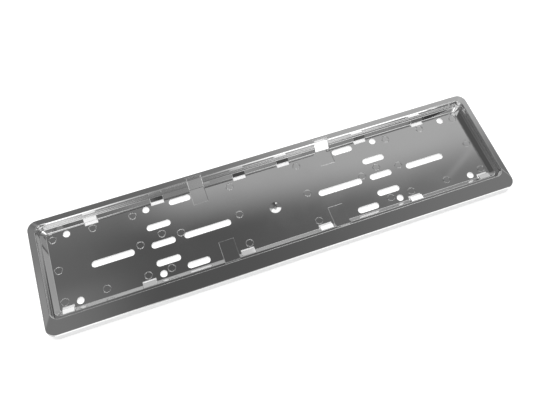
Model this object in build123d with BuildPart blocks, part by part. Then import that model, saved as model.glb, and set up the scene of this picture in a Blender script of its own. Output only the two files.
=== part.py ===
# Number plate holder: a one-piece moulded tray for a long number plate.
# It lies on its back, face up. X runs along the plate, Y up the plate, Z out of the car.
# The origin is the middle of the slot row, on the back face. All sizes are millimetres.

import os

from build123d import *

# Plate that the holder takes, and where its middle lies above the slot row
plate_length = 520.0
plate_height = 110.0
plate_gap_x = 1.0
plate_gap_y = 0.25
plate_mid_y = 2.6

# Heights: the base sheet, then rises above its face
base_t = 2.2
ledge_rise = 5.0
rim_rise = 14.5
lip_drop = 2.0
skirt_lift = 2.5

# Walls
wall_t = 2.0
skirt_t = 1.8
flange_t = 2.0
tray_wall_t = 1.1

# Rim round the pocket's mouth
rim_draft = 0.3
rim_land = 0.9

# Ledge that carries the plate: narrow above and at the ends, wide below
ledge_end = 1.95
ledge_upper = 1.9
ledge_lower = 5.65

# Sloped tray wall, from the ledge in to the base
slope_end = 4.9
slope_upper = 3.15
slope_lower = 5.3

# Flange outside the rim
flange_end = 8.5
flange_upper = 8.5
flange_lower = 17.1

# Corner radii, seen from the front
base_corner = 2.5
ledge_corner = 6.0
pocket_corner = 7.5
rim_corner = 8.5
outer_corner = 11.0

# Rounded edges
base_round = 0.7
ledge_round = 0.4
rim_round = 0.7
lip_round = 1.4

# Fixing slots and holes
slot_w = 7.5
outer_slot_x = 188.7
outer_slot_l = 47.7
inner_slot_x = 80.6
inner_slot_l = 54.3
column_x = 131.8
column_pitch = 22.4
column_slot_l = 27.3
short_slot_x = 101.0
short_slot_l = 25.6
hole_d = 7.8
outer_hole_x = 231.7
inner_hole_x = 140.8
upper_row_y = 45.9
lower_row_y = -35.6

# Hooks low on the long walls, and the windows in the base under them
hook_w = 15.0
upper_hook_x = (27.2, 126.0, 202.6)
lower_hook_x = (46.1, 157.5)
corner_hook_w = 12.7
corner_hook_x = 245.1
window_reach = 4.25
window_back = 0.8
hook_throat = 1.6
hook_nose = 1.4
hook_reach = 1.4
hook_inset = 0.4

# Ramps that notch the ledge and the rim, each with a sunk field in the base before it
ramp_w = 17.3
upper_ramp_x = 78.5
lower_ramp_x = 65.5
upper_ramp_run = 4.05
lower_ramp_run = 6.65
ramp_over = 3.4
cheek_t = 1.4
upper_field_reach = 18.9
lower_field_reach = 21.5
sunk_depth = 0.3

# Dished gate in the middle
gate_d = 13.5
gate_depth = 1.6
gate_nub_d = 2.4
gate_nub_h = 1.2

# Ribs that stiffen the hollow flange
rib_t = 1.4
rib_gap = 1.0
long_ribs = 8
end_ribs = 3

# Levels
base_z = base_t
ledge_z = base_t + ledge_rise
rim_z = base_t + rim_rise
lip_z = rim_z - lip_drop
skirt_z = skirt_lift

# Each outline as its half length, upper edge and lower edge
pocket = (plate_length / 2 + plate_gap_x,
          plate_mid_y + plate_height / 2 + plate_gap_y,
          plate_mid_y - plate_height / 2 - plate_gap_y)
ledge = (pocket[0] - ledge_end, pocket[1] - ledge_upper, pocket[2] + ledge_lower)
base = (ledge[0] - slope_end, ledge[1] - slope_upper, ledge[2] + slope_lower)
rim = (pocket[0] + rim_draft, pocket[1] + rim_draft, pocket[2] - rim_draft)
outer = (rim[0] + flange_end, rim[1] + flange_upper, rim[2] - flange_lower)

# The two long walls, as the sign of their side
upper = 1
lower = -1


def outline(z, edges, corner, grow=0.0):
    """Return a rounded rectangle at height z, grown by an even margin."""
    half_x, upper_y, lower_y = edges
    with BuildSketch(Plane.XY.offset(z)) as shape:
        with Locations((0, (upper_y + lower_y) / 2)):
            RectangleRounded(2 * (half_x + grow), upper_y - lower_y + 2 * grow, corner + grow)
    return shape.sketch


def reach(edges, side):
    """Return how far an outline stands out from the slot row on one long wall."""
    return edges[1] if side == upper else -edges[2]


def wall_prism(x_mid, width, side, profile):
    """Return a prism along X whose profile is given as outward distance and height."""
    with BuildSketch(Plane.YZ.offset(x_mid - width / 2)) as shape:
        Polygon(*[(side * out, z) for out, z in profile], align=None)
    return extrude(shape.sketch, amount=width, dir=(1, 0, 0), mode=Mode.PRIVATE)


def edges_at(part, z):
    """Return the edges of a part that lie flat at height z."""
    return part.edges().filter_by_position(Axis.Z, z - 0.01, z + 0.01)


def flat_face(part, z):
    """Return the level face that a part has at height z."""
    return part.faces().filter_by(Axis.Z).filter_by_position(Axis.Z, z - 0.01, z + 0.01)[0]


def tray_wall_out(side, height):
    """Return how far the sloped tray wall stands out at a height over the base."""
    foot = reach(base, side)
    return foot + (reach(ledge, side) - foot) * height / ledge_rise


def window_profile(side):
    """Profile of the opening that cores out the underside of a hook."""
    front = reach(base, side) - window_reach
    back = tray_wall_out(side, hook_throat) + window_back
    top = base_z + hook_throat
    return [(front, 0), (front, top), (back, top), (back, 0)]


def hook_profile(side):
    """Profile of a hook: a short nose at the foot of a ramp up to the ledge."""
    nose = reach(base, side) - hook_reach
    root = tray_wall_out(side, hook_throat) + window_back
    throat = base_z + hook_throat
    crown = ledge_z - hook_inset
    crest = reach(ledge, side)
    return [(nose, throat), (nose, throat + hook_nose), (crest - hook_inset, crown),
            (crest + window_back, crown), (root, throat)]


def ramp_run(side):
    """Return how far inside the pocket a ramp starts on one long wall."""
    return upper_ramp_run if side == upper else lower_ramp_run


def ramp_line(side, out):
    """Return the height of a ramp's face at an outward distance."""
    run = ramp_run(side)
    return base_z + (out - reach(pocket, side) + run) * ledge_rise / run


def ramp_profile(side):
    """Profile of a ramp's housing: its sheet, its cheeks and the wall behind it."""
    foot = reach(pocket, side) - ramp_run(side)
    back = reach(pocket, side) + ramp_over + skirt_t
    seat = ledge_z - base_round
    crown = rim_z - flange_t / 2
    return [(reach(base, side), 0), (reach(base, side), base_z - base_round),
            (reach(ledge, side), seat), (reach(pocket, side) + wall_t / 2, seat),
            (reach(rim, side) + wall_t / 2, crown), (back, crown),
            (back, ramp_line(side, back) - base_t), (foot, 0)]


def notch_profile(side):
    """Profile of all that is cut away over a ramp's face, up through the rim."""
    front = reach(base, side) - base_round
    foot = reach(pocket, side) - ramp_run(side)
    out = reach(pocket, side) + ramp_over
    return [(front, base_z), (foot, base_z), (out, ramp_line(side, out)), (out, rim_z),
            (front, rim_z)]


def field_spots():
    """Return each sunk field's middle and its length from the foot of its ramp."""
    spots = []
    for side, x, length in ((upper, upper_ramp_x, upper_field_reach),
                            (lower, lower_ramp_x, lower_field_reach)):
        foot = reach(pocket, side) - ramp_run(side)
        total = length + foot - reach(base, side)
        spots += [(sign * x, side * (foot - total / 2), total) for sign in (-1, 1)]
    return spots


# Every hook as its place along X, its width and its wall
hooks = [(sign * x, hook_w, upper) for sign in (-1, 1) for x in upper_hook_x]
hooks += [(sign * x, hook_w, lower) for sign in (-1, 1) for x in lower_hook_x]
hooks += [(sign * corner_hook_x, corner_hook_w, lower) for sign in (-1, 1)]

# Every ramp as its place along X and its wall
ramps = [(sign * x, side) for sign in (-1, 1)
         for x, side in ((upper_ramp_x, upper), (lower_ramp_x, lower))]

# Slots as places and length, and the places of the round holes
slots = [([(sign * outer_slot_x, 0) for sign in (-1, 1)], outer_slot_l),
         ([(sign * inner_slot_x, 0) for sign in (-1, 1)], inner_slot_l),
         ([(sign * column_x, row * column_pitch) for sign in (-1, 1) for row in (-1, 0, 1)],
          column_slot_l),
         ([(sign * short_slot_x, y) for sign in (-1, 1) for y in (upper_row_y, lower_row_y)],
          short_slot_l)]
holes = [(sign * x, y) for sign in (-1, 1) for x in (inner_hole_x, outer_hole_x)
         for y in (upper_row_y, lower_row_y)]

# Space under the flange, between the skirt and the tray, with the ribs left standing in it
with BuildPart() as hollow:
    extrude(outline(skirt_z, outer, outer_corner, -skirt_t), amount=lip_z - flange_t - skirt_z)
    loft([outline(lip_z - flange_t, outer, outer_corner, -skirt_t),
          outline(rim_z - flange_t, rim, rim_corner, rim_land)], ruled=True)
    with BuildSketch(Plane.XY.offset(skirt_z + rib_gap)):
        with GridLocations(2 * outer[0] / long_ribs, 0, long_ribs, 1):
            Rectangle(rib_t, 2 * outer[0])
        with GridLocations(0, (outer[1] - outer[2]) / end_ribs, 1, end_ribs):
            Rectangle(2 * outer[0], rib_t)
    extrude(amount=rim_z - skirt_z, mode=Mode.SUBTRACT)

with BuildPart() as plate_holder:
    # Outer block: skirt, then the flange that rises to the rim
    extrude(outline(skirt_z, outer, outer_corner), amount=lip_z - skirt_z)
    loft([outline(lip_z, outer, outer_corner), outline(rim_z, rim, rim_corner, rim_land)],
         ruled=True)
    fillet(edges_at(plate_holder, lip_z), lip_round)
    add(hollow.part, mode=Mode.SUBTRACT)

    # Outside of the tray, from the back face up into the flange
    loft([outline(0, base, base_corner, tray_wall_t),
          outline(ledge_rise, ledge, ledge_corner, tray_wall_t)], ruled=True)
    loft([outline(ledge_rise, pocket, pocket_corner, wall_t),
          outline(rim_z - rim_land, rim, rim_corner, wall_t)], ruled=True)

    # Inside of the tray: sloped wall, ledge, then the pocket that the plate drops into
    loft([outline(base_z, base, base_corner), outline(ledge_z, ledge, ledge_corner)],
         ruled=True, mode=Mode.SUBTRACT)
    loft([outline(ledge_z, pocket, pocket_corner), outline(rim_z, rim, rim_corner)],
         ruled=True, mode=Mode.SUBTRACT)

    # Rounded rim, ledge edge and foot of the tray wall
    fillet(flat_face(plate_holder, rim_z).inner_wires().edges(), rim_round)
    fillet(flat_face(plate_holder, ledge_z).inner_wires().edges(), ledge_round)
    fillet(flat_face(plate_holder, base_z).outer_wire().edges(), base_round)

    # Fixing slots and round holes
    with BuildSketch():
        for places, length in slots:
            with Locations(*places):
                SlotOverall(length, slot_w)
    extrude(amount=base_z, mode=Mode.SUBTRACT)
    with Locations(*[(x, y, base_z) for x, y in holes]):
        Hole(hole_d / 2, base_t)

    # Windows through the base, with the hooks over them
    add([wall_prism(x, width, side, window_profile(side)) for x, width, side in hooks],
        mode=Mode.SUBTRACT)
    add([wall_prism(x, width, side, hook_profile(side)) for x, width, side in hooks])

    # Ramps up through the ledge and the rim
    add([wall_prism(x, ramp_w + 2 * cheek_t, side, ramp_profile(side)) for x, side in ramps])
    add([wall_prism(x, ramp_w, side, notch_profile(side)) for x, side in ramps],
        mode=Mode.SUBTRACT)

    # Sunk fields before the ramps
    with BuildSketch(Plane.XY.offset(base_z)):
        for x, y, length in field_spots():
            with Locations((x, y)):
                Rectangle(ramp_w, length)
    extrude(amount=-sunk_depth, mode=Mode.SUBTRACT)

    # Dished gate with the stub left by the sprue
    dish_r = (gate_d ** 2 / 4 + gate_depth ** 2) / (2 * gate_depth)
    with Locations((0, 0, base_z - gate_depth + dish_r)):
        Sphere(dish_r, mode=Mode.SUBTRACT)
    with Locations((0, 0, base_z - gate_depth - base_t / 4)):
        with BuildSketch():
            RegularPolygon(gate_nub_d / 2, 8)
        extrude(amount=gate_nub_h + base_t / 4)

plate_holder.part.label = "plate_holder"
os.makedirs("parts", exist_ok=True)
export_step(plate_holder.part, "parts/plate_holder.step")
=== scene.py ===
"""Dresses a chrome-plated number plate holder and sets it in a plain studio.

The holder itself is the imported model, which keeps its shape. This script plates it, adds the
ejector marks that are too fine for the model, closes the rim over the two lower ramps, and sets
up the floor, the dome, the lamp and the camera. Everything is in metres, in the model's own
frame: X along the plate, Y up the plate and Z out of the car, with the holder on its back.
"""

import logging
import math
from dataclasses import dataclass, field
from enum import Enum
from typing import Any, Optional, Union

import bpy
from mathutils import Matrix, Vector


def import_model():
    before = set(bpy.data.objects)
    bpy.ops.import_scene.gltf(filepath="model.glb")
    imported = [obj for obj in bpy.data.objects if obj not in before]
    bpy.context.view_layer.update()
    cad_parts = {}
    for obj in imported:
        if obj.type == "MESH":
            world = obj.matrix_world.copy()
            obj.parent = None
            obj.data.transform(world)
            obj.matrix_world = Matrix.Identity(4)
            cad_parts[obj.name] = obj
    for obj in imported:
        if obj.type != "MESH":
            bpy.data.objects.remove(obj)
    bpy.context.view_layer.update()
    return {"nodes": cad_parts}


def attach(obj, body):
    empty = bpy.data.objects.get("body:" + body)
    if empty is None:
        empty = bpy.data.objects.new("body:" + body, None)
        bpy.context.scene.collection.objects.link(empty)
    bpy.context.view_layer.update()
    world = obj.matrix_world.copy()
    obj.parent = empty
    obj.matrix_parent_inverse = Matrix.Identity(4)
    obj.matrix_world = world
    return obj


LOG = logging.getLogger("plate_holder")
NODE_NAME = "plate_holder"
BODY_NAME = "root"
MM = 0.001

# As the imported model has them: top of the base sheet, crest of the rim, middle of an upper ramp
BASE_TOP = 2.2 * MM
RIM_CREST = 16.7 * MM
UPPER_RAMP_X = 78.5 * MM

# The dome divides by no smaller rise and by no smaller slope
LEAST_RISE = 0.02
LEAST_SLOPE = 0.05

Number = Union["Value", float]

# A soft edge: the value where something starts, and the one where it is full
Edge = tuple[float, float]


class Maths(Enum):
    """The Math node's operations that this script uses."""

    ADD = "ADD"
    SUBTRACT = "SUBTRACT"
    MULTIPLY = "MULTIPLY"
    DIVIDE = "DIVIDE"
    MAXIMUM = "MAXIMUM"
    MINIMUM = "MINIMUM"
    ABSOLUTE = "ABSOLUTE"


class Value:
    """A socket that gives a number, with Python's own arithmetic."""

    def __init__(self, graph: "NodeGraph", socket: bpy.types.NodeSocket) -> None:
        """Wrap a socket.

        Args:
            graph: The graph that new nodes go into.
            socket: The output socket to wrap.
        """
        self.graph = graph
        self.socket = socket

    def __add__(self, other: Number) -> "Value":
        """Return this value plus another."""
        return self.graph.maths(Maths.ADD, self, other)

    def __radd__(self, other: Number) -> "Value":
        """Return another value plus this one."""
        return self.graph.maths(Maths.ADD, other, self)

    def __sub__(self, other: Number) -> "Value":
        """Return this value minus another."""
        return self.graph.maths(Maths.SUBTRACT, self, other)

    def __rsub__(self, other: Number) -> "Value":
        """Return another value minus this one."""
        return self.graph.maths(Maths.SUBTRACT, other, self)

    def __mul__(self, other: Number) -> "Value":
        """Return this value times another."""
        return self.graph.maths(Maths.MULTIPLY, self, other)

    def __rmul__(self, other: Number) -> "Value":
        """Return another value times this one."""
        return self.graph.maths(Maths.MULTIPLY, other, self)

    def __truediv__(self, other: Number) -> "Value":
        """Return this value divided by another."""
        return self.graph.maths(Maths.DIVIDE, self, other)

    def __abs__(self) -> "Value":
        """Return this value without its sign."""
        return self.graph.maths(Maths.ABSOLUTE, self)


class NodeGraph:
    """A material's or a world's nodes, written as expressions."""

    def __init__(self, tree: bpy.types.NodeTree) -> None:
        """Start an empty graph.

        Args:
            tree: The node tree to clear and to fill.
        """
        self.tree = tree
        tree.nodes.clear()

    def node(self, kind: str, settings: Optional[dict[str, Any]] = None,
             **inputs: Any) -> bpy.types.Node:
        """Add a node, set it up and connect its inputs.

        Args:
            kind: The node's Blender type.
            settings: Attributes of the node, which are set first.
            **inputs: Values or sockets for its inputs, by name with _ for a space.

        Returns:
            The new node.
        """
        made = self.tree.nodes.new(kind)
        for name, setting in (settings or {}).items():
            setattr(made, name, setting)
        for name, given in inputs.items():
            self.feed(made.inputs[name.replace("_", " ")], given)
        return made

    def feed(self, socket: bpy.types.NodeSocket, given: Any) -> None:
        """Link a socket to a source, or set its value.

        Args:
            socket: The input socket.
            given: A value or an output socket to link, or else the value to set.
        """
        if isinstance(given, Value):
            given = given.socket
        if isinstance(given, bpy.types.NodeSocket):
            self.tree.links.new(given, socket)
        else:
            socket.default_value = given

    def maths(self, operation: Maths, *terms: Number) -> Value:
        """Add a Math node.

        Args:
            operation: What the node does.
            *terms: The one or two terms that it works on.

        Returns:
            The node's result.
        """
        made = self.node("ShaderNodeMath", {"operation": operation.value})
        for socket, term in zip(made.inputs, terms):
            self.feed(socket, term)
        return Value(self, made.outputs[0])

    def step(self, value: Number, edge: Edge) -> Value:
        """Rise smoothly from 0 to 1 over an edge, which may lie either way round.

        Args:
            value: What is compared with the edge.
            edge: The value where the rise starts, and the one where it is full.

        Returns:
            The rise at that value.
        """
        start, full = edge
        made = self.node("ShaderNodeMapRange", {"interpolation_type": "SMOOTHSTEP"},
                         Value=value, From_Min=start, From_Max=full)
        return Value(self, made.outputs["Result"])

    def between(self, value: Number, start: Edge, end: Edge) -> Value:
        """Return 1 between two edges and 0 outside them."""
        return self.step(value, start) * self.step(value, end)

    def blend(self, first: Value, second: Value, share: Value) -> Value:
        """Return a first value where a share is 0 and a second where it is 1."""
        return first * (1.0 - share) + second * share

    def blend_normals(self, first: Any, second: Any, share: Value) -> bpy.types.NodeSocket:
        """Blend two normals.

        Args:
            first: The first normal.
            second: The second normal.
            share: How much of the second normal there is.

        Returns:
            The blended normal, which isn't of unit length.
        """
        made = self.node("ShaderNodeMix", {"data_type": "VECTOR"})
        self.feed(made.inputs["Factor"], share)
        self.feed(made.inputs[4], first)
        self.feed(made.inputs[5], second)
        return made.outputs[1]

    def axes(self, vector: bpy.types.NodeSocket) -> tuple[Value, Value, Value]:
        """Return a vector's X, Y and Z as values."""
        split = self.node("ShaderNodeSeparateXYZ", Vector=vector)
        return tuple(Value(self, socket) for socket in split.outputs)

    def noise(self, vector: bpy.types.NodeSocket, scale: float, detail: float = 2.0) -> Value:
        """Return noise about zero, from -0.5 to 0.5, at a scale in cycles a metre."""
        made = self.node("ShaderNodeTexNoise", Vector=vector, Scale=scale, Detail=detail)
        return Value(self, made.outputs["Fac"]) - 0.5


@dataclass(frozen=True)
class UpperLip:
    """The lip of the upper long wall, rounder and taller than the model's own edge.

    Attributes:
        depth: How far down the wall the lip's face reaches.
        foot_blur: Half the height over which the face starts.
        lean: Angle by which the face leans back from upright, in degrees.
        face_start: Where the face starts along Y.
        face_end: Where the face ends along Y.
        crest_start: Where the crest over the face starts along Y.
        crest_end: Where the crest passes into the flange along Y.
        crest_drop: How far under the rim's crest the crest starts.
        flange_normal: The flange's own normal, which the crest takes.
        ramp_half: Where the lip starts beside a ramp, from the ramp's middle.
        left_end: Where the lip starts near the left corner.
        right_end: Where it fades out before the right corner.
    """

    depth: float = 2.3 * MM
    foot_blur: float = 0.3 * MM
    lean: float = 38.0
    face_start: Edge = (57.4 * MM, 57.6 * MM)
    face_end: Edge = (58.45 * MM, 58.35 * MM)
    crest_start: Edge = (58.35 * MM, 58.45 * MM)
    crest_end: Edge = (59.9 * MM, 59.6 * MM)
    crest_drop: Edge = (0.8 * MM, 0.6 * MM)
    flange_normal: tuple[float, float, float] = (0.0, 0.254, 0.967)
    ramp_half: Edge = (8.4 * MM, 8.8 * MM)
    left_end: Edge = (-251.0 * MM, -248.0 * MM)
    right_end: Edge = (236.0 * MM, 214.0 * MM)

    def shape(self, graph: NodeGraph, axes: tuple[Value, Value, Value],
              normal: bpy.types.NodeSocket) -> bpy.types.NodeSocket:
        """Lay the lip over a normal.

        Args:
            graph: The material's nodes.
            axes: Where the surface is, in the holder's own frame.
            normal: The normal without the lip.

        Returns:
            The normal with the lip.
        """
        x, y, z = axes
        along = (graph.step(abs(abs(x) - UPPER_RAMP_X), self.ramp_half)
                 * graph.between(x, self.left_end, self.right_end))
        foot = RIM_CREST - self.depth
        foot_edge = (foot - self.foot_blur, foot + self.foot_blur)
        on_face = (graph.between(y, self.face_start, self.face_end)
                   * graph.step(z, foot_edge) * along)
        crest_edge = (RIM_CREST - self.crest_drop[0], RIM_CREST - self.crest_drop[1])
        on_crest = (graph.between(y, self.crest_start, self.crest_end)
                    * graph.step(z, crest_edge) * along)
        lean = math.radians(self.lean)
        face_normal = (0.0, -math.cos(lean), math.sin(lean))
        normal = graph.blend_normals(normal, face_normal, on_face)
        return graph.blend_normals(normal, self.flange_normal, on_crest)


@dataclass(frozen=True)
class GateBowl:
    """The nearly flat lower part of the gate's dish.

    Attributes:
        middle: The bowl's middle in X and Y.
        half_size: Half its width and half its height.
        rim: Edge of the bowl, as a share of its half size squared.
        drop: How far under the base's top the bowl starts.
        stub: Edge of the stub in the dish, as its radius in millimetres squared.
        normal: The bowl's normal.
    """

    middle: tuple[float, float] = (0.3 * MM, -3.4 * MM)
    half_size: tuple[float, float] = (5.9 * MM, 3.7 * MM)
    rim: Edge = (1.1, 0.9)
    drop: Edge = (0.02 * MM, 0.1 * MM)
    stub: Edge = (1.9, 2.6)
    normal: tuple[float, float, float] = (0.0, 0.122, 0.993)

    def shape(self, graph: NodeGraph, axes: tuple[Value, Value, Value],
              normal: bpy.types.NodeSocket) -> bpy.types.NodeSocket:
        """Lay the bowl over a normal.

        Args:
            graph: The material's nodes.
            axes: Where the surface is, in the holder's own frame.
            normal: The normal without the bowl.

        Returns:
            The normal with the bowl.
        """
        x, y, z = axes
        across = (x - self.middle[0]) / self.half_size[0]
        down = (y - self.middle[1]) / self.half_size[1]
        on_bowl = (graph.step(across * across + down * down, self.rim)
                   * graph.step(z, (BASE_TOP - self.drop[0], BASE_TOP - self.drop[1]))
                   * graph.step((x * x + y * y) / (MM * MM), self.stub))
        return graph.blend_normals(normal, self.normal, on_bowl)


@dataclass(frozen=True)
class ChromePlating:
    """Bright chrome on a moulded plastic body: a slightly wavy mirror.

    Attributes:
        name: The material's name.
        reflectance: How much light the plating gives back, the same in every colour.
        polish: Roughness of the clean plating.
        haze: Extra roughness in the faint cloudy patches.
        cloud_scale: Scale of those patches, in cycles a metre.
        cloud_detail: Detail of their noise.
        cloud_edge: The noise where a patch starts, and where it is full.
        edge_radius: Radius to which the plating rounds each sharp edge.
        edge_samples: Samples for that rounding.
        swell: Height of the broad waves in the moulding.
        swell_scale: Their scale, in cycles a metre.
        peel: Height of the fine waves in the plating.
        peel_scale: Their scale, in cycles a metre.
        lip: The lip of the upper long wall.
        bowl: The lower part of the gate's dish.
    """

    name: str = "chrome_plating"
    reflectance: float = 0.72
    polish: float = 0.045
    haze: float = 0.05
    cloud_scale: float = 22.0
    cloud_detail: float = 3.0
    cloud_edge: Edge = (-0.1, 0.25)
    edge_radius: float = 0.6 * MM
    edge_samples: int = 16
    swell: float = 0.02 * MM
    swell_scale: float = 9.0
    peel: float = 0.0006 * MM
    peel_scale: float = 240.0
    lip: UpperLip = UpperLip()
    bowl: GateBowl = GateBowl()

    def make(self) -> bpy.types.Material:
        """Make the material.

        Returns:
            The new material.
        """
        material = bpy.data.materials.new(self.name)
        material.use_nodes = True
        graph = NodeGraph(material.node_tree)
        place = graph.node("ShaderNodeTexCoord").outputs["Object"]
        clouds = graph.step(graph.noise(place, self.cloud_scale, self.cloud_detail),
                            self.cloud_edge)
        height = (graph.noise(place, self.swell_scale) * self.swell
                  + graph.noise(place, self.peel_scale) * self.peel)
        bump = graph.node("ShaderNodeBump", Strength=1.0, Distance=1.0, Height=height,
                          Normal=self.shaped(graph, place))
        tone = self.reflectance
        surface = graph.node("ShaderNodeBsdfPrincipled", Metallic=1.0,
                             Base_Color=(tone, tone, tone, 1.0),
                             Roughness=clouds * self.haze + self.polish,
                             Normal=bump.outputs["Normal"])
        graph.node("ShaderNodeOutputMaterial", Surface=surface.outputs["BSDF"])
        return material

    def shaped(self, graph: NodeGraph, place: bpy.types.NodeSocket) -> bpy.types.NodeSocket:
        """Return the normal of the rounded edges, the upper lip and the gate's bowl.

        Args:
            graph: The material's nodes.
            place: Where the surface is, in the holder's own frame.

        Returns:
            The normal, of unit length.
        """
        rounded = graph.node("ShaderNodeBevel", {"samples": self.edge_samples},
                             Radius=self.edge_radius)
        axes = graph.axes(place)
        normal = self.lip.shape(graph, axes, rounded.outputs["Normal"])
        normal = self.bowl.shape(graph, axes, normal)
        unit = graph.node("ShaderNodeVectorMath", {"operation": "NORMALIZE"})
        graph.feed(unit.inputs[0], normal)
        return unit.outputs["Vector"]


@dataclass(frozen=True)
class FloorPaint:
    """Plain white ground that still takes a soft shadow.

    Attributes:
        name: The material's name.
        glow: Brightness that the camera and mirrors see before any lamp.
        tone: Colour of the paint.
    """

    name: str = "floor_paint"
    glow: float = 0.69
    tone: float = 0.6

    def make(self) -> bpy.types.Material:
        """Make the material.

        Returns:
            The new material.
        """
        material = bpy.data.materials.new(self.name)
        material.use_nodes = True
        graph = NodeGraph(material.node_tree)
        seen = seen_by_eye(graph)
        paint = graph.node("ShaderNodeBsdfDiffuse", Color=(self.tone, self.tone, self.tone, 1.0))
        light = graph.node("ShaderNodeEmission", Color=(1.0, 1.0, 1.0, 1.0),
                           Strength=seen * self.glow)
        both = graph.node("ShaderNodeAddShader")
        graph.feed(both.inputs[0], paint.outputs["BSDF"])
        graph.feed(both.inputs[1], light.outputs["Emission"])
        graph.node("ShaderNodeOutputMaterial", Surface=both.outputs["Shader"])
        return material


def seen_by_eye(graph: NodeGraph) -> Value:
    """Tell what is seen from the light that only brightens other things.

    Args:
        graph: The material's nodes.

    Returns:
        1 for what the camera, a mirror or glass sees, and 0 for other light.
    """
    path = graph.node("ShaderNodeLightPath")
    kinds = [Value(graph, path.outputs[name])
             for name in ("Is Camera Ray", "Is Glossy Ray", "Is Transmission Ray")]
    either = graph.maths(Maths.MAXIMUM, kinds[0], kinds[1])
    return graph.maths(Maths.MAXIMUM, either, kinds[2])


@dataclass
class EjectorMarks:
    """Round marks that the mould's ejector pins leave on the base, each a low fine ridge.

    Attributes:
        material: The plating.
        radius: Radius of each ridge's middle line.
        ridge_half_width: Half the width of a ridge.
        ridge_height: How far a ridge stands out of the base.
        ring_segments: Facets round a mark.
        tube_segments: Facets round a ridge.
        row_x: Places along X of the marks that stand in three rows, on either side.
        row_y: The three rows' places along Y.
        lone: Places of the other marks, on either side.
    """

    material: bpy.types.Material
    radius: float = 4.1 * MM
    ridge_half_width: float = 0.6 * MM
    ridge_height: float = 0.12 * MM
    ring_segments: int = 36
    tube_segments: int = 8
    row_x: tuple[float, ...] = (247.8 * MM, 157.0 * MM, 41.6 * MM)
    row_y: tuple[float, ...] = (43.4 * MM, 5.4 * MM, -32.1 * MM)
    lone: tuple[tuple[float, float], ...] = (
        (202.7 * MM, 43.4 * MM), (202.7 * MM, -32.1 * MM), (131.0 * MM, 11.2 * MM),
        (131.0 * MM, -32.1 * MM), (110.4 * MM, 5.4 * MM))

    def places(self) -> list[Vector]:
        """Return the middle of each mark, on the base's top face."""
        half = [(x, y) for x in self.row_x for y in self.row_y] + list(self.lone)
        return [Vector((sign * x, y, BASE_TOP)) for sign in (-1, 1) for x, y in half]

    def ridge(self) -> bpy.types.Object:
        """Model one ridge about the origin.

        Returns:
            The ridge, with its lower half below the origin's level.
        """
        bpy.ops.mesh.primitive_torus_add(major_radius=self.radius, location=(0, 0, 0),
                                         minor_radius=self.ridge_half_width,
                                         major_segments=self.ring_segments,
                                         minor_segments=self.tube_segments)
        ring = bpy.context.object
        bpy.ops.object.mode_set(mode="EDIT")
        bpy.ops.mesh.select_all(action="SELECT")
        bpy.ops.transform.resize(value=(1, 1, self.ridge_height / self.ridge_half_width))
        bpy.ops.object.mode_set(mode="OBJECT")
        return ring

    def build(self) -> bpy.types.Object:
        """Model every mark as one piece.

        Returns:
            The finished piece, at the origin.
        """
        deselect_all()
        first = self.ridge()
        copies = []
        for place in self.places():
            copy = first.copy()
            copy.data = first.data.copy()
            copy.data.transform(Matrix.Translation(place))
            bpy.context.collection.objects.link(copy)
            copies.append(copy)
        bpy.data.objects.remove(first)
        deselect_all()
        for copy in copies:
            copy.select_set(True)
        bpy.context.view_layer.objects.active = copies[0]
        bpy.ops.object.join()
        piece = bpy.context.object
        piece.name = "ejector_marks"
        bpy.ops.object.shade_smooth()
        piece.data.materials.clear()
        piece.data.materials.append(self.material)
        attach(piece, BODY_NAME)
        return piece


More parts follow.
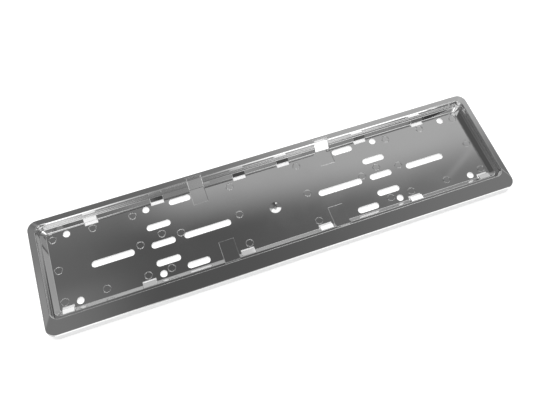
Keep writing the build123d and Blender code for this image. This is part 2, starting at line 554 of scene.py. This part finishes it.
@dataclass
class RimBridges:
    """Short lengths of the lower rim that close it over the two lower ramps.

    Attributes:
        material: The plating.
        ramp_x: How far each lower ramp's middle lies from the holder's middle.
        ramp_width: Width of the gap that a ramp leaves in the rim.
        overlap: How far each end runs on inside the rim beside the gap.
        proud: How far a bridge lies over the rim's own surface, so that the two don't mix.
        inner_y: The pocket wall's foot.
        outer_y: The outer side of a bridge, just past the back of the gap.
        foot_z: Where a bridge starts, inside the ramp's sheet.
        ledge_z: Level of the ledge.
        crest_z: Level of the rim's crest.
        draft: How far the pocket wall leans out between the ledge and the crest.
        land: Width of the crest before the flange falls away.
        flange_run: Width of the flange.
        flange_fall: How far the flange falls over that width.
        crest_round: Radius of the crest's inner edge.
        round_segments: Facets of that rounding.
        reach: How near a vertex has to lie to the crest's inner edge to be on it.
        cut_tolerance: How near a vertex has to lie to a cut to be on it.
        smooth_angle: Angle in degrees up to which an edge is shaded smooth.
    """

    material: bpy.types.Material
    ramp_x: float = 65.5 * MM
    ramp_width: float = 17.3 * MM
    overlap: float = 1.2 * MM
    proud: float = 0.02 * MM
    inner_y: float = -52.65 * MM
    outer_y: float = -57.25 * MM
    foot_z: float = 7.0 * MM
    ledge_z: float = 7.2 * MM
    crest_z: float = RIM_CREST
    draft: float = 0.3 * MM
    land: float = 0.9 * MM
    flange_run: float = 16.2 * MM
    flange_fall: float = 2.0 * MM
    crest_round: float = 0.7 * MM
    round_segments: int = 4
    reach: float = 0.01 * MM
    cut_tolerance: float = 0.001 * MM
    smooth_angle: float = 30.0

    def crest(self) -> Vector:
        """Return the point where the pocket wall would meet the crest."""
        return Vector((0.0, self.inner_y - self.draft + self.proud, self.crest_z + self.proud))

    def bridge(self) -> bpy.types.Object:
        """Model one bridge about X = 0.

        Returns:
            The bridge, cut to the rim's section and rounded at its inner edge.
        """
        width = self.ramp_width + 2 * self.overlap
        inner, top = self.inner_y + self.proud, self.crest_z + self.proud
        middle = (0.0, (inner + self.outer_y) / 2, (self.foot_z + top) / 2)
        bpy.ops.mesh.primitive_cube_add(size=1.0, location=middle)
        block = bpy.context.object
        block.scale = (width, inner - self.outer_y, top - self.foot_z)
        bpy.ops.object.transform_apply(location=True, rotation=True, scale=True)
        crest = self.crest()
        bpy.ops.object.mode_set(mode="EDIT")
        self.cut(crest, Vector((0.0, self.crest_z - self.ledge_z, self.draft)))
        self.cut(crest - Vector((0.0, self.land, 0.0)),
                 Vector((0.0, -self.flange_fall, self.flange_run)))
        self.round_crest(block)
        bpy.ops.object.mode_set(mode="OBJECT")
        return block

    def cut(self, point: Vector, normal: Vector) -> None:
        """Cut away all that lies on the outer side of a plane, and close the cut."""
        bpy.ops.mesh.select_all(action="SELECT")
        bpy.ops.mesh.bisect(plane_co=point, plane_no=normal.normalized(), use_fill=True,
                            clear_outer=True, threshold=self.cut_tolerance)

    def round_crest(self, block: bpy.types.Object) -> None:
        """Round the inner edge of a block's crest.

        Args:
            block: The block, in edit mode.
        """
        bpy.ops.mesh.select_mode(type="EDGE")
        bpy.ops.mesh.select_all(action="DESELECT")
        bpy.ops.object.mode_set(mode="OBJECT")
        crest = self.crest()
        for edge in block.data.edges:
            ends = [block.data.vertices[index].co for index in edge.vertices]
            edge.select = all(math.hypot(end.y - crest.y, end.z - crest.z) < self.reach
                              for end in ends)
        bpy.ops.object.mode_set(mode="EDIT")
        bpy.ops.mesh.bevel(offset=self.crest_round, segments=self.round_segments,
                           affect="EDGES")

    def build(self) -> bpy.types.Object:
        """Model both bridges as one piece.

        Returns:
            The finished piece, at the origin.
        """
        deselect_all()
        left = self.bridge()
        right = left.copy()
        right.data = left.data.copy()
        left.data.transform(Matrix.Translation((-self.ramp_x, 0.0, 0.0)))
        right.data.transform(Matrix.Translation((self.ramp_x, 0.0, 0.0)))
        bpy.context.collection.objects.link(right)
        deselect_all()
        left.select_set(True)
        right.select_set(True)
        bpy.context.view_layer.objects.active = left
        bpy.ops.object.join()
        piece = bpy.context.object
        piece.name = "rim_bridges"
        bpy.ops.object.shade_smooth_by_angle(angle=math.radians(self.smooth_angle))
        piece.data.materials.clear()
        piece.data.materials.append(self.material)
        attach(piece, BODY_NAME)
        return piece


@dataclass(frozen=True)
class Change:
    """A smooth change along one slope of the dome.

    Attributes:
        edge: The slope where the change starts, and where it is full.
        amount: How much it adds once it is full.
    """

    edge: Edge
    amount: float

    def at(self, slope: Value) -> Value:
        """Return how much it adds at a slope."""
        return slope.graph.step(slope, self.edge) * self.amount


@dataclass(frozen=True)
class Tones:
    """Brightness along one slope of the dome.

    Attributes:
        first: Brightness before any change.
        changes: The changes on the way.
    """

    first: float
    changes: tuple[Change, ...]

    def at(self, slope: Value) -> Value:
        """Add the changes up.

        Args:
            slope: A slope of the dome.

        Returns:
            The brightness at that slope.
        """
        total = self.first
        for change in self.changes:
            total = total + change.at(slope)
        return total


@dataclass(frozen=True)
class FarSide:
    """The dome overhead and on the side away from the camera.

    Attributes:
        overhead: Tones overhead, along the holder.
        left_lift: Light added overhead on the left.
        left_lift_end: The share of that light that is lost further up the plate.
        wall: Tones of the wall beyond, along the holder.
        wall_edge: Where the overhead passes into the wall.
        wall_slant: How much sooner it does so further to the right.
        slant_end: Where that slant ends.
        seam_side: Place along the holder of a point on the wall's seam.
        seam_far: That point's place up the plate.
        seam_slope: How fast the seam runs off towards the right.
        seam_width: Edge of the seam, from its middle line.
        seam_start: Where the seam starts.
        seam_light: Light that the seam adds.
        low: Tones under the wall, along the holder.
        low_edge: Where the wall passes into them.
        ground: Tones of the ground at the horizon, along the holder.
        ground_edge: Where the low tones pass into it.
        haze_edge: Where the dimmer ground near the horizon starts.
        haze_left: Its left edge, seen from the holder's middle.
        haze_right: Its right edge, seen from the holder's middle.
        haze_loss: The share of the ground's light that is lost there.
        left_edge: Where the left end's tones start.
        left_tones: Those tones, up the plate.
        left_fade: The share of them that is lost further left.
        right_edge: Where the right end's tones start.
        right_tones: Those tones, up the plate.
    """

    overhead: Tones = Tones(0.11, (Change((0.02, 0.6), 0.13),))
    left_lift: Change = Change((-0.06, -0.24), 0.12)
    left_lift_end: Change = Change((0.40, 0.45), 0.55)
    wall: Tones = Tones(0.22, (Change((-0.12, 0.05), 0.25), Change((0.05, 0.55), 0.06)))
    wall_edge: Edge = (0.457, 0.557)
    wall_slant: float = 0.13
    slant_end: float = 0.36
    seam_side: float = 0.49
    seam_far: float = 0.414
    seam_slope: float = 0.58
    seam_width: Edge = (0.010, 0.0)
    seam_start: Edge = (0.47, 0.5)
    seam_light: float = 0.10
    low: Tones = Tones(0.18, (Change((-0.1, 0.1), 0.06), Change((0.1, 0.65), 0.30)))
    low_edge: Edge = (0.62, 0.8)
    ground: Tones = Tones(0.77, (Change((-0.6, 1.8), -0.36),))
    ground_edge: Edge = (2.2, 3.0)
    haze_edge: Edge = (4.0, 6.0)
    haze_left: Edge = (-0.36, -0.28)
    haze_right: Edge = (0.12, 0.0)
    haze_loss: float = 0.45
    left_edge: Edge = (-0.6, -0.85)
    left_tones: Tones = Tones(0.36, (Change((0.58, 0.70), -0.09),))
    left_fade: Change = Change((-1.3, -1.7), 0.62)
    right_edge: Edge = (1.3, 1.8)
    right_tones: Tones = Tones(0.21, (Change((0.7, 1.0), 0.34), Change((1.4, 2.0), -0.13)))

    def upper(self, graph: NodeGraph, side: Value, far: Value) -> Value:
        """Return the brightness of the overhead and of the wall.

        Args:
            graph: The world's nodes.
            side: Slope of a direction along the holder, 0 overhead.
            far: Slope of a direction up the plate, 0 overhead.

        Returns:
            The brightness at that direction.
        """
        overhead = (self.overhead.at(side)
                    + self.left_lift.at(side) * (1.0 - self.left_lift_end.at(far)))
        slant = graph.maths(Maths.MINIMUM, side, self.slant_end) * self.wall_slant
        tones = graph.blend(overhead, self.wall.at(side), graph.step(far + slant, self.wall_edge))
        off_seam = far - self.seam_far - (side - self.seam_side) * self.seam_slope
        on_seam = graph.step(abs(off_seam), self.seam_width) * graph.step(side, self.seam_start)
        return tones + on_seam * self.seam_light

    def horizon(self, graph: NodeGraph, side: Value, far: Value) -> Value:
        """Return the brightness of the ground at the horizon.

        Args:
            graph: The world's nodes.
            side: Slope of a direction along the holder, 0 overhead.
            far: Slope of a direction up the plate, 0 overhead.

        Returns:
            The brightness at that direction.
        """
        swing = side / graph.maths(Maths.MAXIMUM, far, LEAST_SLOPE)
        haze = (graph.step(far, self.haze_edge)
                * graph.between(swing, self.haze_left, self.haze_right))
        return self.ground.at(side) * (1.0 - haze * self.haze_loss)

    def light(self, graph: NodeGraph, side: Value, far: Value) -> Value:
        """Return the brightness of the whole far side, without its bright strip.

        Args:
            graph: The world's nodes.
            side: Slope of a direction along the holder, 0 overhead.
            far: Slope of a direction up the plate, 0 overhead.

        Returns:
            The brightness at that direction.
        """
        tones = graph.blend(self.upper(graph, side, far), self.low.at(side),
                            graph.step(far, self.low_edge))
        tones = graph.blend(tones, self.horizon(graph, side, far),
                            graph.step(far, self.ground_edge))
        left = self.left_tones.at(far) * (1.0 - self.left_fade.at(side))
        tones = graph.blend(tones, left, graph.step(side, self.left_edge))
        return graph.blend(tones, self.right_tones.at(far), graph.step(side, self.right_edge))


@dataclass(frozen=True)
class LightStrip:
    """The bright strip low on the far side.

    Attributes:
        upper_edge: Its edge towards the overhead.
        lower_edge: Its edge towards the horizon.
        left_end: Its left end.
        right_end: Its right end.
        glow: Its brightness.
        dip_left: Left edge of the dimmer length in its middle.
        dip_right: Right edge of that length.
        dip_loss: Light that is lost there.
        right_drop: Change of its light further right.
    """

    upper_edge: Edge = (0.60, 0.72)
    lower_edge: Edge = (1.45, 1.25)
    left_end: Edge = (-0.7, -0.35)
    right_end: Edge = (1.5, 1.1)
    glow: float = 1.1
    dip_left: Edge = (-0.30, -0.20)
    dip_right: Edge = (0.163, 0.143)
    dip_loss: float = 0.62
    right_drop: Change = Change((0.66, 0.76), -0.9)

    def light(self, graph: NodeGraph, side: Value, far: Value) -> Value:
        """Return the light that the strip adds.

        Args:
            graph: The world's nodes.
            side: Slope of a direction along the holder, 0 overhead.
            far: Slope of a direction up the plate, 0 overhead.

        Returns:
            The brightness to add at that direction.
        """
        dip = graph.between(side, self.dip_left, self.dip_right) * self.dip_loss
        glow = self.glow - dip + self.right_drop.at(side)
        return (graph.between(far, self.upper_edge, self.lower_edge)
                * graph.between(side, self.left_end, self.right_end) * glow)


@dataclass(frozen=True)
class NearSide:
    """The dome on the camera's side, dark where the camera stands.

    Attributes:
        panel_edge: Where the panels start, from the overhead.
        high_edge: Where the low panel passes into the bright high one.
        high: Brightness of the high panel.
        gap_left: Left edge of the dark gap that the camera makes in it.
        gap_right: Right edge of that gap.
        gap_loss: The share of the light that is lost in the gap.
        ends: Share of the high panel's light that is left towards its two ends.
        high_fade: The share of it that is lost at the horizon.
        low: Tones of the low panel, round the holder.
        low_right: Light added to them on the right.
        low_right_end: Where that light ends again.
        right_dim: Change of the low panel further right.
        left_side: Edge of the light patch left of the overhead, along the holder.
        left_near: Where that patch starts, down the plate.
        left_light: Light that it adds.
        dim: Change between the overhead and the panels.
    """

    panel_edge: Edge = (0.36, 0.46)
    high_edge: Edge = (0.85, 1.05)
    high: float = 1.7
    gap_left: Edge = (-0.2, -0.03)
    gap_right: Edge = (0.23, 0.04)
    gap_loss: float = 0.84
    ends: Tones = Tones(1.0, (Change((0.8, 1.1), -0.85), Change((-0.45, -0.7), -0.85)))
    high_fade: Change = Change((4.0, 5.0), 0.62)
    low: Tones = Tones(0.26, (Change((-0.2, -0.34), 0.6),))
    low_right: Change = Change((0.15, 0.55), 0.56)
    low_right_end: Edge = (0.58, 0.76)
    right_dim: Change = Change((0.02, 0.6), -0.13)
    left_side: Edge = (-0.03, -0.11)
    left_near: Edge = (0.12, 0.25)
    left_light: float = 1.2
    dim: Change = Change((0.1, 0.3), -0.05)

    def light(self, graph: NodeGraph, side: Value, near: Value) -> Value:
        """Return the light that is added on the camera's side.

        Args:
            graph: The world's nodes.
            side: Slope of a direction along the holder, 0 overhead.
            near: Slope of a direction down the plate, 0 overhead.

        Returns:
            The brightness to add at that direction.
        """
        turn = side / graph.maths(Maths.MAXIMUM, near, LEAST_SLOPE)
        gap = graph.between(turn, self.gap_left, self.gap_right)
        high = (self.high * (1.0 - gap * self.gap_loss) * self.ends.at(turn)
                * (1.0 - self.high_fade.at(near)))
        low = (self.low.at(turn)
               + self.low_right.at(turn) * (1.0 - graph.step(turn, self.low_right_end))
               + self.right_dim.at(side))
        panels = graph.step(near, self.panel_edge)
        beside = 1.0 - panels
        patch = (graph.step(side, self.left_side) * graph.step(near, self.left_near)
                 * beside * self.left_light)
        return (panels * graph.blend(low, high, graph.step(near, self.high_edge))
                + patch + self.dim.at(near) * beside)


@dataclass(frozen=True)
class Dome:
    """The dome of light: dim overhead, with broad soft panels round it.

    Attributes:
        far_side: The overhead and the side away from the camera.
        strip: The bright strip on that side.
        near_side: The camera's side.
    """

    far_side: FarSide = FarSide()
    strip: LightStrip = LightStrip()
    near_side: NearSide = NearSide()

    def build(self) -> bpy.types.World:
        """Light the dome.

        Returns:
            The world, which the camera itself sees as plain white.
        """
        world = bpy.data.worlds.new("studio_dome")
        world.use_nodes = True
        graph = NodeGraph(world.node_tree)
        x, y, z = graph.axes(graph.node("ShaderNodeTexCoord").outputs["Generated"])
        rise = graph.maths(Maths.MAXIMUM, z, LEAST_RISE)
        side, far = x / rise, y / rise
        level = (self.far_side.light(graph, side, far) + self.strip.light(graph, side, far)
                 + self.near_side.light(graph, side, far * -1.0))
        path = graph.node("ShaderNodeLightPath")
        eye = Value(graph, path.outputs["Is Camera Ray"])
        shown = graph.maths(Maths.MAXIMUM, level, eye)
        back = graph.node("ShaderNodeBackground", Color=shown.socket, Strength=1.0)
        graph.node("ShaderNodeOutputWorld", Surface=back.outputs["Background"])
        bpy.context.scene.world = world
        return world


@dataclass
class Studio:
    """The floor, the lamp and the camera.

    Attributes:
        floor_half: Half the width of the floor.
        floor_level: The floor's height, just under the holder's back face.
        lamp_place: Where the soft lamp stands.
        lamp_size: Width of the lamp.
        lamp_power: Power of the lamp in watts.
        camera_place: Where the photograph was taken from.
        camera_aim: The point that the lens axis meets.
        camera_roll: Turn of the camera about its lens axis, in degrees.
        camera_sensor: Width of the camera's sensor in millimetres.
        camera_lens: Focal length in millimetres.
        camera_shift: Sideways shift that the photograph's framing needs.
    """

    floor_half: float = 4.0
    floor_level: float = -0.2 * MM
    lamp_place: Vector = field(default_factory=lambda: Vector((0.25, 0.9, 1.3)))
    lamp_size: float = 0.9
    lamp_power: float = 26.0
    camera_place: Vector = field(default_factory=lambda: Vector((-0.10356, -0.29046, 0.62898)))
    camera_aim: Vector = field(default_factory=lambda: Vector((0.00715, 0.00776, BASE_TOP)))
    camera_roll: float = 1.0
    camera_sensor: float = 36.0
    camera_lens: float = 41.11
    camera_shift: float = -0.02345

    def build_floor(self) -> bpy.types.Object:
        """Lay the floor.

        Returns:
            The floor, which is staging and no part of the holder.
        """
        deselect_all()
        bpy.ops.mesh.primitive_plane_add(size=2 * self.floor_half,
                                         location=(0, 0, self.floor_level))
        floor = bpy.context.object
        floor.name = "floor"
        floor.data.materials.append(FloorPaint().make())
        return floor

    def build_lamp(self) -> bpy.types.Object:
        """Hang the soft lamp that gives the holder its shadow.

        Returns:
            The lamp, which no mirror shows.
        """
        data = bpy.data.lights.new("soft_lamp", "AREA")
        data.shape = "SQUARE"
        data.size = self.lamp_size
        data.energy = self.lamp_power
        lamp = bpy.data.objects.new("soft_lamp", data)
        bpy.context.scene.collection.objects.link(lamp)
        lamp.location = self.lamp_place
        lamp.rotation_euler = (-self.lamp_place).to_track_quat("-Z", "Y").to_euler()
        lamp.visible_glossy = False
        return lamp

    def build_camera(self) -> bpy.types.Object:
        """Set the camera where the photograph was taken from.

        Returns:
            The camera, as the scene's own.
        """
        data = bpy.data.cameras.new("camera")
        data.lens = self.camera_lens
        data.sensor_width = self.camera_sensor
        data.shift_x = self.camera_shift
        camera = bpy.data.objects.new("camera", data)
        bpy.context.scene.collection.objects.link(camera)
        look = (self.camera_aim - self.camera_place).to_track_quat("-Z", "Y")
        roll = Matrix.Rotation(math.radians(self.camera_roll), 4, "Z")
        turned = look.to_matrix().to_4x4() @ roll
        camera.matrix_world = Matrix.Translation(self.camera_place) @ turned
        bpy.context.scene.camera = camera
        return camera


def deselect_all() -> None:
    """Leave nothing selected, so that an operator acts only on what comes next."""
    bpy.ops.object.select_all(action="DESELECT")


def main() -> None:
    """Plate the holder, add its marks and rim bridges, and build the studio."""
    logging.basicConfig(level=logging.INFO, format="%(name)s: %(message)s")
    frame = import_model()
    plating = ChromePlating().make()
    holder = frame["nodes"][NODE_NAME]
    holder.data.materials.clear()
    holder.data.materials.append(plating)
    LOG.info("plated %s", holder.name)
    marks = EjectorMarks(plating).build()
    LOG.info("made %s with %d faces", marks.name, len(marks.data.polygons))
    plain = ChromePlating("chrome_plating_plain", edge_radius=0.0).make()
    bridges = RimBridges(plain).build()
    LOG.info("made %s with %d faces", bridges.name, len(bridges.data.polygons))
    studio = Studio()
    LOG.info("laid %s", studio.build_floor().name)
    LOG.info("lit %s and %s", Dome().build().name, studio.build_lamp().name)
    LOG.info("placed %s", studio.build_camera().name)
    bpy.context.scene.view_settings.view_transform = "Standard"


if __name__ == "__main__":
    main()
